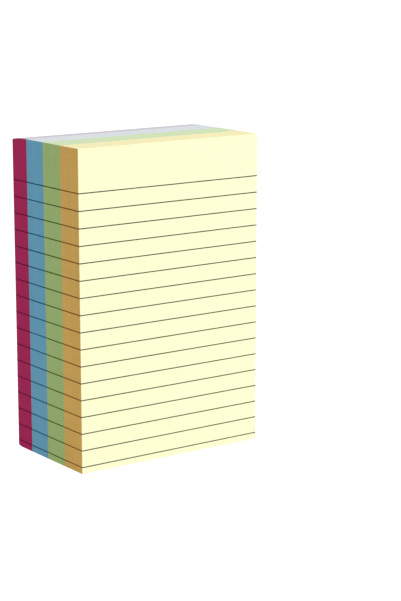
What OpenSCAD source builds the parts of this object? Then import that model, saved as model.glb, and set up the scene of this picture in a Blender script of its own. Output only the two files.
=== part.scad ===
// Sticky note block: four coloured pads of ruled notes, stuck one behind the other.
// It stands on its bottom edge. The front note faces -Y, and the origin is the middle of the base.

/* [Notes] */
// Width of a note
sheet_w = 101.6; // [70:0.1:160]
// Height of a note
sheet_h = 152.4; // [90:0.1:220]

/* [Pads] */
// Thickness of the yellow pad, at the front
yellow_t = 15.4; // [8:0.1:25]
// Thickness of the green pad
green_t = 15.2; // [8:0.1:25]
// Thickness of the blue pad
blue_t = 14.9; // [8:0.1:25]
// Thickness of the pink pad, at the back
pink_t = 14.2; // [8:0.1:25]

/* [Ruling] */
// Blank height above the first ruled line
header_h = 20.4; // [10:0.1:40]
// Distance from one ruled line to the next
rule_pitch = 8.05; // [5:0.05:12]
// Width of a ruled line
rule_w = 0.5; // [0.2:0.05:1]
// Depth to which the ink soaks into the paper
ink_depth = 0.05; // [0.02:0.01:0.2]

/* [Adhesive] */
// Height of the adhesive band on the back of a note
band_h = 22; // [10:0.5:30]
// Thickness of the adhesive band
band_t = 0.05; // [0.02:0.01:0.1]
// Bare paper between the band and the top edge
band_top_gap = 4; // [4:0.5:10]
// Bare paper between the band and each side edge
band_side_gap = 2.5; // [2.5:0.5:12]

/* [Trim] */
// Fall of the top edge across the last pad, where the knife pulled the paper
knife_draw = 1.2; // [0.3:0.1:1.5]
// Radius of the rounded edges round the back of the last pad
back_edge_r = 1.8; // [0.5:0.1:2.4]
// Radius to which the four corners at the back of the last pad are worn
worn_corner_r = 1.5; // [0.5:0.1:2.4]

/* [Hidden] */
$fn = 96;

// Colours of the paper from front to back, then of the ink and the adhesive
paper_colours = ["#f8e59a", "#8ca868", "#5a94b2", "#952650"];
ink_colour = "#3a3a30";
adhesive_colour = "#ece8d8";

// Places of the pads from front to back in the lists below
YELLOW = 0;
GREEN = 1;
BLUE = 2;
PINK = 3;
pad_ts = [yellow_t, green_t, blue_t, pink_t];
last_pad = len(pad_ts) - 1;

// How far a cut runs past the paper
overrun = 1;

// Thickness of the pads in front of pad i, all pads together for i = len(pad_ts)
function depth_to(i) = i == 0 ? 0 : depth_to(i - 1) + pad_ts[i - 1];
block_t = depth_to(len(pad_ts));
function front_y(i) = depth_to(i) - block_t / 2;
function back_y(i) = front_y(i) + pad_ts[i];

// The knife leaves the last pad's top edge on an arc that starts level
draw_r = (pow(pad_ts[last_pad], 2) + pow(knife_draw, 2)) / (2 * knife_draw);
// Fall of that arc at a distance in front of the pad's back
function draw_at(gap) = draw_r - sqrt(pow(draw_r, 2) - pow(pad_ts[last_pad] - gap, 2));
// Fall where the rounding of the back edges begins
edge_fall = draw_at(back_edge_r);

// Share of the last pad's thickness over which its corners are worn
worn_share = 0.3;
worn_t = worn_share * pad_ts[last_pad];

// Ruled lines run down the note for as long as a whole line fits
rule_count = floor((sheet_h - header_h - rule_w) / rule_pitch) + 1;
function rule_z(k) = sheet_h - header_h - k * rule_pitch;

// Square stack of notes of one pad, up to a height
module note_stack(i, stack_h) {
    translate([-sheet_w / 2, front_y(i), 0])
        cube([sheet_w, pad_ts[i], stack_h]);
}

// Waste above the arc that the knife cuts along the top of the last pad
module knife_offcut() {
    arc_front = front_y(last_pad);
    waste_z = sheet_h - knife_draw - overrun;
    difference() {
        translate([-sheet_w / 2 - overrun, arc_front - overrun, waste_z])
            cube([sheet_w + 2 * overrun, pad_ts[last_pad] + 2 * overrun, knife_draw + 3 * overrun]);
        translate([-sheet_w / 2 - 2 * overrun, arc_front, sheet_h - draw_r])
            rotate([0, 90, 0])
                cylinder(r = draw_r, h = sheet_w + 4 * overrun);
    }
}

// Waste outside one rounded edge of a length, with the edge on the Z axis and the paper at -X -Y
module edge_waste(edge_l) {
    difference() {
        translate([-back_edge_r, -back_edge_r, -overrun])
            cube([back_edge_r + overrun, back_edge_r + overrun, edge_l + 2 * overrun]);
        translate([-back_edge_r, -back_edge_r, -2 * overrun])
            cylinder(r = back_edge_r, h = edge_l + 4 * overrun);
    }
}

// Waste outside the four edges round the back of the last pad
module back_edge_waste() {
    back = back_y(last_pad);
    for (side = [0, 1])
        mirror([side, 0, 0])
            translate([sheet_w / 2, back, 0])
                edge_waste(sheet_h);
    translate([-sheet_w / 2, back, sheet_h - edge_fall])
        rotate([0, 90, 0])
            rotate([0, 0, 90])
                edge_waste(sheet_w);
    translate([-sheet_w / 2, back, 0])
        rotate([0, 90, 0])
            edge_waste(sheet_w);
}

// Waste outside one worn corner, with the square corner on the Y axis, the pad's back at Y = 0
// and the paper at -X -Z. The wear follows a cone that leaves the paper at Y = -worn_t,
// where the edge of the paper has risen.
module worn_corner_waste(rise) {
    reach = norm([worn_corner_r, worn_corner_r + rise]);
    end_change = 2 * overrun * (reach - worn_corner_r) / worn_t;
    difference() {
        translate([-worn_corner_r, -worn_t - overrun, -worn_corner_r])
            cube([worn_corner_r + overrun, worn_t + 2 * overrun, worn_corner_r + rise + overrun]);
        translate([-worn_corner_r, -worn_t - 2 * overrun, -worn_corner_r])
            rotate([-90, 0, 0])
                cylinder(r1 = reach + end_change, r2 = worn_corner_r - end_change,
                    h = worn_t + 4 * overrun);
    }
}

// Waste outside the four worn corners at the back of the last pad
module worn_corners_waste() {
    back = back_y(last_pad);
    for (side = [0, 1])
        mirror([side, 0, 0]) {
            translate([sheet_w / 2, back, sheet_h - edge_fall])
                worn_corner_waste(edge_fall - draw_at(worn_t));
            translate([sheet_w / 2, back, 0])
                mirror([0, 0, 1])
                    worn_corner_waste(0);
        }
}

// Paper of one pad after the knife: square, apart from the top, back and corners of the last pad
module trimmed_paper(i) {
    if (i == last_pad) {
        difference() {
            note_stack(i, sheet_h + overrun);
            knife_offcut();
            back_edge_waste();
            worn_corners_waste();
        }
    } else {
        note_stack(i, sheet_h);
    }
}

// Plan of the paper that the ink doesn't reach. It is open at the back of the pad.
module blank_plan(i) {
    blank_w = sheet_w - 2 * ink_depth;
    if (i == last_pad) {
        corner_x = sheet_w / 2 - back_edge_r;
        corner_y = pad_ts[i] - back_edge_r;
        translate([-blank_w / 2, ink_depth])
            square([blank_w, corner_y - ink_depth]);
        translate([-corner_x, ink_depth])
            square([2 * corner_x, pad_ts[i] + 2 * overrun]);
        for (side = [-1, 1])
            translate([side * corner_x, corner_y])
                circle(r = back_edge_r - ink_depth);
    } else {
        translate([-blank_w / 2, ink_depth])
            square([blank_w, pad_ts[i] + 2 * overrun]);
    }
}

// Inked paper of every ruled line of one pad: across the front note and round both cut edges
module rule_bands(i) {
    for (k = [0 : rule_count - 1])
        translate([0, front_y(i), rule_z(k) - rule_w / 2])
            linear_extrude(height = rule_w)
                difference() {
                    translate([-sheet_w / 2 - overrun, -overrun])
                        square([sheet_w + 2 * overrun, pad_ts[i] + 2 * overrun]);
                    blank_plan(i);
                }
}

// Adhesive band in the back of the last note of one pad, which may run past the paper
module adhesive_band(i, past) {
    translate([-sheet_w / 2 + band_side_gap, back_y(i) - band_t, sheet_h - band_top_gap - band_h])
        cube([sheet_w - 2 * band_side_gap, band_t + past, band_h]);
}

// Notes of one colour as one block of paper, with the places of the ink and the adhesive left out
module pad(i) {
    color(paper_colours[i])
        difference() {
            trimmed_paper(i);
            rule_bands(i);
            adhesive_band(i, overrun);
        }
}

// Ruled lines of one pad, flush with the paper
module ruling(i) {
    color(ink_colour)
        intersection() {
            trimmed_paper(i);
            rule_bands(i);
        }
}

// Adhesive of one pad, flush with the back of its last note
module adhesive(i) {
    color(adhesive_colour)
        adhesive_band(i, 0);
}

pad(YELLOW);  // yellow_pad
pad(GREEN);  // green_pad
pad(BLUE);  // blue_pad
pad(PINK);  // pink_pad
ruling(YELLOW);  // yellow_ruling
ruling(GREEN);  // green_ruling
ruling(BLUE);  // blue_ruling
ruling(PINK);  // pink_ruling
adhesive(YELLOW);  // yellow_adhesive
adhesive(GREEN);  // green_adhesive
adhesive(BLUE);  // blue_adhesive
adhesive(PINK);  // pink_adhesive
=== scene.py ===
import math
import random
from typing import NamedTuple

import bpy
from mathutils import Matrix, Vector


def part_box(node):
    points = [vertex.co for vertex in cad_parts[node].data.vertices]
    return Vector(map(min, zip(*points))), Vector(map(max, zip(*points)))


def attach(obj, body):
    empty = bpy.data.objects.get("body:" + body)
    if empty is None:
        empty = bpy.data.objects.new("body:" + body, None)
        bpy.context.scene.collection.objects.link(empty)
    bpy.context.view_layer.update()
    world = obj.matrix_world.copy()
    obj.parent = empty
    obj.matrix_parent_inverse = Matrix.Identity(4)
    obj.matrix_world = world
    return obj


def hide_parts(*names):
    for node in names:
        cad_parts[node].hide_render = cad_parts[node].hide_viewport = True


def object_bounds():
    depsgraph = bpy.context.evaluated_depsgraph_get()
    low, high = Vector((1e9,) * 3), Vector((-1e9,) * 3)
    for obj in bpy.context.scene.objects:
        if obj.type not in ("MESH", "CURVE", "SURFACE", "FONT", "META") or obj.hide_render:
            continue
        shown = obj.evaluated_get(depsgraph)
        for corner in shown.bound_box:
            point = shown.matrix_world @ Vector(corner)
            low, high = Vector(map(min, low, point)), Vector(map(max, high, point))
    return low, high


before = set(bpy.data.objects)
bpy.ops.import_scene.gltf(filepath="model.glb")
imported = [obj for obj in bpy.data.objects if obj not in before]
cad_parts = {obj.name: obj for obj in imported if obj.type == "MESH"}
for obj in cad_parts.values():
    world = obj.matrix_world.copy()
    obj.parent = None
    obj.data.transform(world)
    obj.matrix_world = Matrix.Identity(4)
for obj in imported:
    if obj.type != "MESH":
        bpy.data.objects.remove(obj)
cad_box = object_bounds()

# A block of four ruled sticky note pads. Every pad is made again note by note inside its solid,
# so that the cut edges show the single notes. Lengths are in metres unless a name says otherwise.
MM = 0.001

# The photo's frame and the camera that was fitted to it
IMAGE_H_PX = 601
FOCAL_PX = 1808
SENSOR_MM = 36
CAMERA_FROM_CORNER = Vector((-428.5, -687.1, 254.0)) * MM
HEADING_DEG = 35.85
PITCH_DEG = 11.96

# One note and the way a stack of them is cut
NOTE_T = 0.1 * MM
NOTES_IN_BUNDLE = 9
FACE_INSET = 0.01 * MM
EDGE_INSET = 0.012 * MM
NOTE_JOG = 0.018 * MM
BUNDLE_JOG = 0.012 * MM
GROOVE = 0.03 * MM
EDGE_RIPPLE = 0.006 * MM
EDGE_RIPPLES = 2.5
STACK_SWAY = 0.12 * MM
STACK_SWAYS = 3

# Points along a pad's sides: even steps, and places close to the corners
STEPS_ACROSS = 8
STEPS_UP = 12
CORNER_STEPS = (0.2 * MM, 0.45 * MM, 0.8 * MM, 1.5 * MM)

# Trim of the pink pad, as its solid has it
KNIFE_DRAW = 1.2 * MM
BACK_EDGE_R = 1.8 * MM
WORN_CORNER_R = 1.5 * MM
WORN_SHARE = 0.3

# Adhesive coat on the back of the block
COAT_T = 0.04 * MM
COAT_SKIN = 0.002 * MM
COAT_RIPPLE = 0.25 * MM
COAT_RIPPLE_TURN = 0.25
COAT_MARGIN = 0.5 * MM
COAT_STEPS_ACROSS = 64
COAT_STEPS_UP = 12

# Spots in the finishes: their size along X, Y and Z
NOTE_STREAK = (30 * MM, 0.14 * MM, 30 * MM)
BUNDLE_STREAK = (70 * MM, 0.9 * MM, 70 * MM)
BATCH_STREAK = (160 * MM, 5 * MM, 160 * MM)
KNIFE_MARK = (1.3 * MM, 45 * MM, 1.3 * MM)
PAPER_CLOUD = (14 * MM, 14 * MM, 14 * MM)
LEVEL_FIBRE = (1.6 * MM, 1 * MM, 0.3 * MM)
UPRIGHT_FIBRE = (0.3 * MM, 1 * MM, 1.6 * MM)
PAPER_TOOTH = (0.2 * MM, 0.2 * MM, 0.2 * MM)
EDGE_FIBRE = (0.5 * MM, 0.5 * MM, 0.5 * MM)
TOP_MOTTLE = (9 * MM, 1.6 * MM, 9 * MM)
INK_SPREAD = (0.8 * MM, 0.8 * MM, 0.8 * MM)
COAT_SMEAR = (24 * MM, 1 * MM, 3 * MM)
COAT_BEAD = (0.35 * MM, 0.35 * MM, 0.35 * MM)

# Depth of the relief of the finishes
FACE_RELIEF = 0.012 * MM
EDGE_RELIEF = 0.02 * MM
GLUED_RELIEF = 0.015 * MM
INK_RELIEF = 0.005 * MM
COAT_RELIEF = 0.02 * MM

# Table, air and softboxes of the studio
FLOOR_HALF = 12.0
FLOOR_GLOW = 0.97
FLOOR_PAINT = 0.3
AIR_GLOW = 0.15
STUDIO_WHITE = (1.0, 1.0, 0.99)

# Start of the random draws that jog the notes
NOTE_SEED = 41

# Sides of a pad, of which the first four go round it
BOTTOM, RIGHT, TOP, LEFT, FRONT, BACK = range(6)
SIDES_ROUND = 4


class Paper(NamedTuple):
    """Colours of one pad: its notes' faces, its cut edges, its glued top edge painted pale as a painted
    highlight, and its ruled lines.
    """

    face: tuple
    edge: tuple
    highlit_top: tuple
    ink: tuple


class Softbox(NamedTuple):
    """Square softbox: where it stands, the length of its sides and its power in watts."""

    place: tuple
    size: float
    power: float


SOFTBOXES = {
    "overhead_softbox": Softbox(place=(0.0, 0.0, 1.45), size=1.0, power=13.3),
    "front_softbox": Softbox(place=(0.5, -1.6, 0.45), size=0.8, power=12.0),
    "back_softbox": Softbox(place=(-0.1, 1.6, 0.5), size=0.8, power=10.0),
}
# The pale colour given for each pad's top edge is a painted highlight, not the paper's own colour.
PAPERS = {
    "yellow": Paper(
        face=(0.945, 0.94, 0.61),
        edge=(0.724, 0.463, 0.134),
        highlit_top=(0.93, 0.866, 0.523),
        ink=(0.2, 0.085, 0.012),
    ),
    "green": Paper(
        face=(0.68, 0.83, 0.5),
        edge=(0.412, 0.557, 0.225),
        highlit_top=(0.664, 0.797, 0.517),
        ink=(0.055, 0.11, 0.014),
    ),
    "blue": Paper(
        face=(0.45, 0.72, 0.86),
        edge=(0.17, 0.425, 0.597),
        highlit_top=(0.727, 0.77, 0.79),
        ink=(0.006, 0.075, 0.14),
    ),
    "pink": Paper(
        face=(0.8, 0.27, 0.47),
        edge=(0.453, 0.027, 0.125),
        highlit_top=(0.664, 0.611, 0.68),
        ink=(0.145, 0.002, 0.025),
    ),
}
PRINTED_INK = (0.05, 0.05, 0.028)
ADHESIVE = (0.82, 0.55, 0.6)


# Sockets of a Mix node for colours, which share their names with its other sockets
MIX_SHARE, MIX_FIRST, MIX_SECOND = 0, 6, 7
MIX_COLOUR = 2


class Tone:
    """One output of a node tree. Arithmetic on it adds Math nodes."""

    def __init__(self, nodes, socket):
        self.nodes = nodes
        self.socket = socket

    def worked(self, operation, first, second):
        return self.nodes.add("ShaderNodeMath", {"operation": operation}, {0: first, 1: second})

    def __add__(self, other):
        return self.worked("ADD", self, other)

    __radd__ = __add__

    def __sub__(self, other):
        return self.worked("SUBTRACT", self, other)

    def __rsub__(self, other):
        return self.worked("SUBTRACT", other, self)

    def __mul__(self, other):
        return self.worked("MULTIPLY", self, other)

    __rmul__ = __mul__


class Nodes:
    """A node tree that is filled from Python expressions."""

    def __init__(self, tree):
        tree.nodes.clear()
        self.tree = tree

    def add(self, kind, settings=None, sockets=None, output=0):
        """Adds a node: its settings first, then the values or links of its sockets."""
        node = self.tree.nodes.new(kind)
        for name, value in (settings or {}).items():
            setattr(node, name, value)
        for key, value in (sockets or {}).items():
            socket = node.inputs[key]
            if isinstance(value, Tone):
                self.tree.links.new(value.socket, socket)
            elif socket.type == "RGBA":
                socket.default_value = (*value, 1.0)
            else:
                socket.default_value = value
        return Tone(self, node.outputs[output]) if node.outputs else None

    def mix(self, share, first, second):
        """Colour that goes from the first to the second as the share goes from 0 to 1."""
        sockets = {MIX_SHARE: share, MIX_FIRST: first, MIX_SECOND: second}
        return self.add("ShaderNodeMix", {"data_type": "RGBA"}, sockets, output=MIX_COLOUR)

    def shade(self, colour, factor):
        """Colour made darker or lighter by a factor."""
        return self.add("ShaderNodeVectorMath", {"operation": "SCALE"}, {0: colour, "Scale": factor})

    def grain(self, size, detail=2.0):
        """Noise from about -0.3 to 0.3, whose spots have a size along X, Y and Z."""
        place = self.add("ShaderNodeTexCoord", output="Object")
        stretched = self.add("ShaderNodeVectorMath", {"operation": "DIVIDE"}, {0: place, 1: size})
        sockets = {"Vector": stretched, "Scale": 1.0, "Detail": detail}
        return self.add("ShaderNodeTexNoise", None, sockets) - 0.5

    def step(self, value, low, high):
        """Smooth step from 0 to 1 as the value goes from low to high."""
        sockets = {"Value": value, "From Min": low, "From Max": high}
        return self.add("ShaderNodeMapRange", {"interpolation_type": "SMOOTHSTEP"}, sockets)

    def facing(self, axis):
        """Share of the surface's normal along an axis of the frame."""
        normal = self.add("ShaderNodeNewGeometry", output="Normal")
        return self.add("ShaderNodeSeparateXYZ", None, {0: normal}, output=axis)

    def finish(self, colour, roughness, relief, depth, **constants):
        """Joins a surface's colour, roughness and relief of a depth into its shader."""
        normal = self.add("ShaderNodeBump", None, {"Height": relief, "Distance": depth})
        sockets = {"Base Color": colour, "Roughness": roughness, "Normal": normal}
        for name, value in constants.items():
            sockets[name.replace("_", " ")] = value
        shader = self.add("ShaderNodeBsdfPrincipled", None, sockets)
        self.add("ShaderNodeOutputMaterial", None, {"Surface": shader})


def new_material(name):
    material = bpy.data.materials.new(name)
    material.use_nodes = True
    return material, Nodes(material.node_tree)


def stack_streaks(nodes):
    """Streaks along the cut edge of a stack: single notes, bundles and batches of paper."""
    notes = nodes.grain(NOTE_STREAK, detail=1.0)
    bundles = nodes.grain(BUNDLE_STREAK)
    batches = nodes.grain(BATCH_STREAK)
    return 0.5 * notes + 0.35 * bundles + 0.25 * batches


def knife_marks(nodes):
    """Faint scores that the knife leaves across the notes of a stack."""
    return nodes.grain(KNIFE_MARK)


def note_face(name, colour):
    """Face of a note: uncoated paper with a cloudy formation and short fibres."""
    material, nodes = new_material(name)
    clouds = nodes.grain(PAPER_CLOUD, detail=3.0)
    fibres = nodes.grain(LEVEL_FIBRE) + nodes.grain(UPRIGHT_FIBRE)
    tooth = nodes.grain(PAPER_TOOTH)
    paper = nodes.shade(colour, 1 + 0.03 * clouds + 0.03 * fibres)
    roughness = 0.86 + 0.1 * tooth + 0.08 * fibres
    nodes.finish(paper, roughness, tooth + 0.6 * fibres, FACE_RELIEF, Specular_IOR_Level=0.2)
    return material


def cut_edge(name, colour, face):
    """Cut edge of a pad. Where the edge turns to the back, the faces of the notes show."""
    material, nodes = new_material(name)
    streaks = stack_streaks(nodes)
    fibres = nodes.grain(EDGE_FIBRE, detail=3.0)
    marks = knife_marks(nodes)
    paper = nodes.shade(colour, 1 + 0.36 * streaks + 0.1 * fibres + 0.08 * marks)
    turned = nodes.step(nodes.facing("Y"), 0.6, 0.98)
    paper = nodes.mix(turned, paper, face)
    roughness = 0.82 + 0.2 * streaks + 0.1 * fibres
    nodes.finish(paper, roughness, streaks + 0.3 * marks, EDGE_RELIEF, Specular_IOR_Level=0.12)
    return material


def highlit_top_edge(name, colour, edge):
    """Top edge of a pad, painted pale: a painted highlight that washes out its colour, mottled at random.
    """
    material, nodes = new_material(name)
    streaks = stack_streaks(nodes)
    mottle = nodes.grain(TOP_MOTTLE, detail=3.0)
    fibres = nodes.grain(EDGE_FIBRE, detail=3.0)
    # Painted highlight: where the mottle is thin, a little of the deep edge colour shows through the pale
    # top colour.
    less_highlit = nodes.step(mottle + 0.5 * streaks, 0.16, 0.4)
    paper = nodes.mix(0.25 * less_highlit, colour, edge)
    paper = nodes.shade(paper, 1 + 0.12 * streaks + 0.05 * fibres)
    roughness = 0.72 + 0.3 * mottle + 0.1 * fibres
    nodes.finish(paper, roughness, streaks + 0.4 * mottle, GLUED_RELIEF, Specular_IOR_Level=0.2)
    return material


def ruling_ink(name, edge_ink):
    """Ink of the ruled lines: printed on the front note, and soaked into the cut edges."""
    material, nodes = new_material(name)
    streaks = stack_streaks(nodes)
    spread = nodes.grain(INK_SPREAD, detail=3.0)
    printed = nodes.step(0 - nodes.facing("Y"), 0.6, 0.8)
    ink = nodes.mix(printed, nodes.shade(edge_ink, 1 + 0.9 * streaks), PRINTED_INK)
    ink = nodes.shade(ink, 1 + 0.5 * spread)
    roughness = 0.75 + 0.15 * spread
    nodes.finish(ink, roughness, spread, INK_RELIEF, Specular_IOR_Level=0.03)
    return material


def adhesive_coat(name):
    """Thin satin coat of adhesive, laid on in small beads."""
    material, nodes = new_material(name)
    smears = nodes.grain(COAT_SMEAR, detail=3.0)
    beads = nodes.grain(COAT_BEAD)
    coat = nodes.shade(ADHESIVE, 1 + 0.2 * smears + 0.12 * beads)
    roughness = 0.45 + 0.3 * smears + 0.15 * beads
    nodes.finish(coat, roughness, beads + 0.5 * smears, COAT_RELIEF, Specular_IOR_Level=0.45)
    return material


class Wear(NamedTuple):
    """Rounds that the corners of a pad are worn to: where their centres lie, and their radii."""

    out: float
    low: float
    high: float
    low_r: float
    high_r: float

    def worn(self, x, z):
        """Point of a square pad, moved in onto a round if it lies outside."""
        centre_x = math.copysign(self.out, x)
        centre_z, radius = (self.low, self.low_r) if z < self.low else (self.high, self.high_r)
        past_x, past_z = x - centre_x, z - centre_z
        if abs(x) <= self.out or self.low <= z <= self.high:
            return x, z
        share = min(1.0, radius / math.hypot(past_x, past_z))
        return centre_x + past_x * share, centre_z + past_z * share


class Ring(NamedTuple):
    """One line round a pad: its depth, its left, right, low and high ends, its waves and its wear."""

    depth: float
    ends: tuple
    sway: float
    ripple: float
    turn: float
    wear: Wear = None

    def point(self, side, share):
        """Point at a share of one of the sides."""
        left, right, low, high = self.ends
        wave = math.sin(math.tau * (EDGE_RIPPLES * share + self.turn))
        dip = self.ripple * wave * math.sin(math.pi * share)
        depth = self.depth + self.sway * math.sin(math.tau * STACK_SWAYS * (side + share) / SIDES_ROUND)
        if side == BOTTOM:
            x, z = left + (right - left) * share, low + dip
        elif side == RIGHT:
            x, z = right - dip, low + (high - low) * share
        elif side == TOP:
            x, z = right - (right - left) * share, high - dip
        else:
            x, z = left + dip, high - (high - low) * share
        if self.wear:
            x, z = self.wear.worn(x, z)
        return x, depth, z


def side_shares(steps, end_shares=()):
    """Shares of a side at which its points lie, some of them close to both ends."""
    inner = [k / steps for k in range(1, steps)]
    return [0.0, *end_shares, *inner, *(1 - share for share in reversed(end_shares)), 1.0]


def rim_index(i, j, across, up):
    """Place on a ring of the grid point i across and j up, or None inside the ring."""
    if j == 0:
        return i
    if i == across:
        return across + j
    if j == up:
        return 2 * across + up - i
    if i == 0:
        return 2 * across + 2 * up - j
    return None


class Shell:
    """Closed shell through a row of rings, with a gridded face at its front and back."""

    def __init__(self, rings, x_shares, z_shares):
        self.x_shares = x_shares
        self.z_shares = z_shares
        self.across = len(x_shares) - 1
        self.up = len(z_shares) - 1
        self.points = []
        self.faces = []
        self.sides = []
        self.shares = []
        rim = [
            (side, *span)
            for side, shares in enumerate((x_shares, z_shares, x_shares, z_shares))
            for span in zip(shares, shares[1:])
        ]
        for ring in rings:
            self.points.extend(ring.point(side, share) for side, share, _ in rim)
        for row in range(len(rings) - 1):
            near, far = row / (len(rings) - 1), (row + 1) / (len(rings) - 1)
            for place, (side, start, end) in enumerate(rim):
                here, there = row * len(rim), (row + 1) * len(rim)
                after = (place + 1) % len(rim)
                corners = (here + place, there + place, there + after, here + after)
                self.add(side, corners, ((start, near), (start, far), (end, far), (end, near)))
        self.close(FRONT, 0)
        self.close(BACK, (len(rings) - 1) * len(rim))

    def add(self, side, corners, shares):
        self.faces.append(corners)
        self.sides.append(side)
        self.shares.append(shares)

    def close(self, side, start):
        """Lays a grid of faces over the ring whose points begin at start."""
        grid = {}
        for j in range(self.up + 1):
            for i in range(self.across + 1):
                rim = rim_index(i, j, self.across, self.up)
                if rim is None:
                    grid[i, j] = len(self.points)
                    self.points.append(self.inner_point(start, i, j))
                else:
                    grid[i, j] = start + rim
        for j in range(self.up):
            for i in range(self.across):
                steps = ((i, j), (i + 1, j), (i + 1, j + 1), (i, j + 1))
                if side == BACK:
                    steps = steps[::-1]
                shares = tuple((self.x_shares[a], self.z_shares[b]) for a, b in steps)
                self.add(side, tuple(grid[step] for step in steps), shares)

    def inner_point(self, start, i, j):
        """Point of a face's grid, between the points of its ring on all four sides."""
        left, right, low, high = (
            self.points[start + rim_index(*ends, self.across, self.up)]
            for ends in ((0, j), (self.across, j), (i, 0), (i, self.up))
        )
        x = left[0] + (right[0] - left[0]) * self.x_shares[i]
        z = low[2] + (high[2] - low[2]) * self.z_shares[j]
        return x, left[1], z

    def piece(self, name, finishes, places):
        """Makes the object, with a finish for each side and each side's place on the map."""
        mesh = bpy.data.meshes.new(name)
        mesh.from_pydata(self.points, [], self.faces)
        materials = list(dict.fromkeys(finishes.values()))
        for material in materials:
            mesh.materials.append(material)
        chart = mesh.uv_layers.new(name="OFBake")
        for face, side, shares in zip(mesh.polygons, self.sides, self.shares):
            face.material_index = materials.index(finishes[side])
            left, low, right, high = places[side]
            for loop, (along, over) in zip(face.loop_indices, shares):
                u, v = (over, along) if side in (LEFT, RIGHT) else (along, over)
                chart.data[loop].uv = (left + (right - left) * u, low + (high - low) * v)
        mesh.validate()
        thing = bpy.data.objects.new(name, mesh)
        bpy.context.scene.collection.objects.link(thing)
        return thing


def map_places(front_share, back_share):
    """Each side's left, low, right and high end on a map. The front and back take shares of its width."""
    gap = 0.012
    strip = 0.08
    edge = (1 - front_share - back_share - 5 * gap) / 2
    face_top = 1 - 2 * strip - 3 * gap
    ends = []
    left = gap
    for width in (edge, front_share, edge, back_share):
        ends.append((left, gap, left + width, face_top))
        left += width + gap
    places = {LEFT: ends[0], FRONT: ends[1], RIGHT: ends[2], BACK: ends[3]}
    places[BOTTOM] = (gap, face_top + gap, 1 - gap, face_top + gap + strip)
    places[TOP] = (gap, face_top + 2 * gap + strip, 1 - gap, 1 - gap)
    return places


def square_trim(depth):
    """Paper lost from the sides and foot, from the top and at the corners of a pad that was cut square."""
    return 0.0, 0.0, None


def back_trim(low, high):
    """Trim of the pad at the back: a top drawn down on an arc, and round back edges and corners."""
    thick = high.y - low.y
    arc_r = (thick**2 + KNIFE_DRAW**2) / (2 * KNIFE_DRAW)

    def drawn(depth):
        return arc_r - math.sqrt(arc_r**2 - depth**2)

    worn_t = WORN_SHARE * thick
    edge_fall = drawn(thick - BACK_EDGE_R)
    rise = edge_fall - drawn(thick - worn_t)
    low_reach = math.hypot(WORN_CORNER_R, WORN_CORNER_R)
    high_reach = math.hypot(WORN_CORNER_R, WORN_CORNER_R + rise)

    def trim(depth):
        past = min(max(depth - (thick - BACK_EDGE_R), 0.0), BACK_EDGE_R)
        rounded = BACK_EDGE_R - math.sqrt(BACK_EDGE_R**2 - past**2)
        top_rounded = edge_fall + rounded if past else 0.0
        unworn = (thick - depth) / worn_t
        wear = Wear(
            out=high.x - WORN_CORNER_R,
            low=low.z + WORN_CORNER_R,
            high=high.z - edge_fall - WORN_CORNER_R,
            low_r=WORN_CORNER_R + (low_reach - WORN_CORNER_R) * unworn - EDGE_INSET,
            high_r=WORN_CORNER_R + (high_reach - WORN_CORNER_R) * unworn - EDGE_INSET,
        )
        return rounded, max(drawn(depth), top_rounded), wear

    return trim


def note_rings(low, high, trim, dice):
    """Rings round every note of a pad: one on the note's edge, and one in the groove behind it."""
    thick = high.y - low.y - 2 * FACE_INSET
    count = round(thick / NOTE_T)
    jogs = []
    for i in range(count):
        if i % NOTES_IN_BUNDLE == 0:
            bundle = [dice.uniform(0, BUNDLE_JOG) for _ in range(SIDES_ROUND)]
        jogs.append([EDGE_INSET + jog + dice.uniform(0, NOTE_JOG) for jog in bundle])

    def ring(place, inset, ripple):
        depth = FACE_INSET + thick * place / count
        side_trim, top_trim, wear = trim(depth)
        ends = (
            low.x + inset[LEFT] + side_trim,
            high.x - inset[RIGHT] - side_trim,
            low.z + inset[BOTTOM] + side_trim,
            high.z - inset[TOP] - top_trim,
        )
        share = place / count
        sway = STACK_SWAY * 4 * share * (1 - share)
        return Ring(low.y + depth, ends, sway, ripple, dice.random(), wear)

    rings = [ring(0, jogs[0], 0.0)]
    for i in range(count):
        rings.append(ring(i + 0.5, jogs[i], EDGE_RIPPLE))
        if i + 1 < count:
            groove = [max(pair) + GROOVE for pair in zip(jogs[i], jogs[i + 1])]
            rings.append(ring(i + 1, groove, 0.0))
    rings.append(ring(count, jogs[-1], 0.0))
    return rings


def make_pad(colour, trim, places, dice):
    """Makes one pad and puts ink on the ruled lines of its solid."""
    paper = PAPERS[colour]
    node = f"{colour}_pad"
    low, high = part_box(node)
    face = note_face(f"{colour}_note_face", paper.face)
    edge = cut_edge(f"{colour}_cut_edge", paper.edge, paper.face)
    # The top edge's finish carries a painted highlight.
    highlit_top = highlit_top_edge(f"{colour}_highlit_top_edge", paper.highlit_top, paper.edge)
    finishes = {BOTTOM: edge, RIGHT: edge, TOP: highlit_top, LEFT: edge, FRONT: face, BACK: face}
    rings = note_rings(low, high, trim, dice)
    x_shares = side_shares(STEPS_ACROSS, [step / (high.x - low.x) for step in CORNER_STEPS])
    z_shares = side_shares(STEPS_UP, [step / (high.z - low.z) for step in CORNER_STEPS])
    pad = Shell(rings, x_shares, z_shares).piece(f"{colour}_notes", finishes, places)
    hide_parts(node)
    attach(pad, "root")
    paint(f"{colour}_ruling", ruling_ink(f"{colour}_ruling_ink", paper.ink))


def paint(node, material):
    """Puts a finish on a solid of the frame."""
    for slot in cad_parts[node].material_slots:
        slot.material = material


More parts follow.
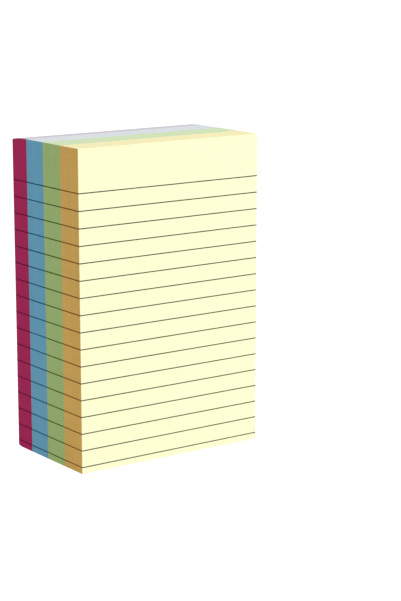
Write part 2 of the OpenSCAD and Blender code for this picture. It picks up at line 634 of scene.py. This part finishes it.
def make_back_coat(finish):
    """Adhesive coat on the back of the block, whose border ran a little when it was laid on."""
    node = "pink_adhesive"
    low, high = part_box(node)
    back = high.y - COAT_SKIN
    ends = (low.x + COAT_MARGIN, high.x - COAT_MARGIN, low.z + COAT_MARGIN, high.z - COAT_MARGIN)
    rings = [Ring(depth, ends, 0.0, COAT_RIPPLE, COAT_RIPPLE_TURN) for depth in (back - COAT_T, back)]
    coat = Shell(rings, side_shares(COAT_STEPS_ACROSS), side_shares(COAT_STEPS_UP))
    places = map_places(front_share=0.1, back_share=0.8)
    finishes = dict.fromkeys((BOTTOM, RIGHT, TOP, LEFT, FRONT, BACK), finish)
    piece = coat.piece("back_adhesive_coat", finishes, places)
    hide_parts(node)
    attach(piece, "root")


def make_block():
    dice = random.Random(NOTE_SEED)
    make_pad("yellow", square_trim, map_places(front_share=0.6, back_share=0.1), dice)
    make_pad("green", square_trim, map_places(front_share=0.15, back_share=0.15), dice)
    make_pad("blue", square_trim, map_places(front_share=0.15, back_share=0.15), dice)
    make_pad("pink", back_trim(*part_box("pink_pad")), map_places(front_share=0.1, back_share=0.6), dice)
    adhesive = adhesive_coat("adhesive_coat")
    for colour in ("yellow", "green", "blue"):
        paint(f"{colour}_adhesive", adhesive)
    make_back_coat(adhesive)


def make_floor():
    """Pale table that glows softly, so that hardly a shadow falls on it."""
    mesh = bpy.data.meshes.new("floor")
    corners = [(x * FLOOR_HALF, y * FLOOR_HALF, 0.0) for x, y in ((-1, -1), (1, -1), (1, 1), (-1, 1))]
    mesh.from_pydata(corners, [], [(0, 1, 2, 3)])
    material, nodes = new_material("pale_floor")
    sockets = {
        "Base Color": (FLOOR_PAINT,) * 3,
        "Roughness": 1.0,
        "Specular IOR Level": 0.0,
        "Emission Color": STUDIO_WHITE,
        "Emission Strength": FLOOR_GLOW,
    }
    shader = nodes.add("ShaderNodeBsdfPrincipled", None, sockets)
    nodes.add("ShaderNodeOutputMaterial", None, {"Surface": shader})
    material.cycles.emission_sampling = "NONE"
    mesh.materials.append(material)
    floor = bpy.data.objects.new("floor", mesh)
    bpy.context.scene.collection.objects.link(floor)


def make_air():
    """Soft light from all round, in front of a white backdrop."""
    world = bpy.data.worlds.new("studio_air")
    world.use_nodes = True
    bpy.context.scene.world = world
    nodes = Nodes(world.node_tree)
    seen = nodes.add("ShaderNodeLightPath", output="Is Camera Ray")
    strength = AIR_GLOW + (1 - AIR_GLOW) * seen
    air = nodes.add("ShaderNodeBackground", None, {"Color": STUDIO_WHITE, "Strength": strength})
    nodes.add("ShaderNodeOutputWorld", None, {"Surface": air})


def make_softbox(name, softbox, aim):
    """Makes a softbox, turned to the point that it lights."""
    light = bpy.data.lights.new(name, "AREA")
    light.shape = "SQUARE"
    light.size = softbox.size
    light.energy = softbox.power
    lamp = bpy.data.objects.new(name, light)
    lamp.location = softbox.place
    lamp.rotation_mode = "QUATERNION"
    lamp.rotation_quaternion = (aim - lamp.location).to_track_quat("-Z", "Y")
    lamp.visible_camera = False
    bpy.context.scene.collection.objects.link(lamp)


def make_lights():
    low, high = cad_box
    middle = (low + high) / 2
    for name, softbox in SOFTBOXES.items():
        make_softbox(name, softbox, middle)


def make_camera():
    """Camera at the photo's angle."""
    low, high = cad_box
    heading, pitch = math.radians(HEADING_DEG), math.radians(PITCH_DEG)
    level = math.cos(pitch)
    gaze = Vector((math.sin(heading) * level, math.cos(heading) * level, -math.sin(pitch)))
    lens = bpy.data.cameras.new("camera")
    lens.sensor_width = SENSOR_MM
    lens.lens = FOCAL_PX * SENSOR_MM / IMAGE_H_PX
    camera = bpy.data.objects.new("camera", lens)
    camera.location = low + CAMERA_FROM_CORNER
    camera.rotation_mode = "QUATERNION"
    camera.rotation_quaternion = gaze.to_track_quat("-Z", "Y")
    bpy.context.scene.collection.objects.link(camera)
    bpy.context.scene.camera = camera


bpy.context.scene.view_settings.view_transform = "Standard"
make_camera()
make_block()
make_floor()
make_air()
make_lights()
